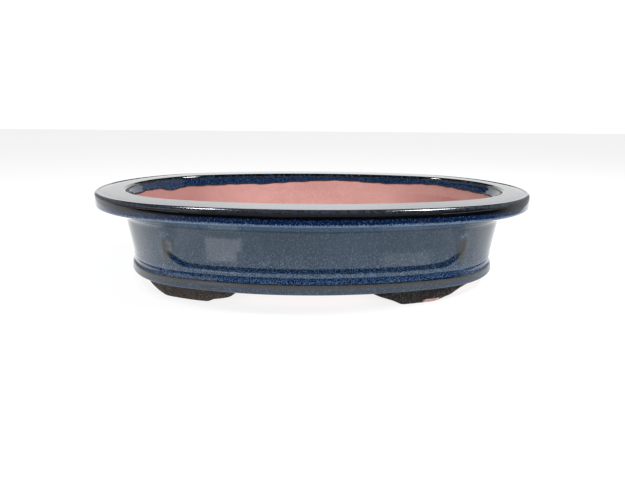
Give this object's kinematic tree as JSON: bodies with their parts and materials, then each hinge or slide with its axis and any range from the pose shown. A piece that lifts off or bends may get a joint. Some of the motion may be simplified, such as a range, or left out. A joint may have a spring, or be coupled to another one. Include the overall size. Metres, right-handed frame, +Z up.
{
  "type": "bonsai pot",
  "caption": "Shallow oval glazed bonsai pot with a wide flat rim, recessed side panels, a moulded base band, drain holes and cloud feet.",
  "frame": {"origin": "on the surface the pot stands on, under the middle of its oval", "axes": "+X along the pot's length to the right, +Y from the front to the back, +Z up out of the mouth"},
  "size_m": [0.36, 0.24, 0.076],
  "materials": {
    "navy_glaze": "gloss",
    "bare_clay": "matte",
    "foot_glaze": "satin"
  },
  "bodies": {
    "root": {"rim": "navy_glaze", "body_wall": "navy_glaze", "base_band": "navy_glaze", "floor_slab": "bare_clay", "foot_front_left": "foot_glaze", "foot_front_right": "foot_glaze", "foot_back_left": "foot_glaze", "foot_back_right": "foot_glaze"}
  },
  "joints": []
}
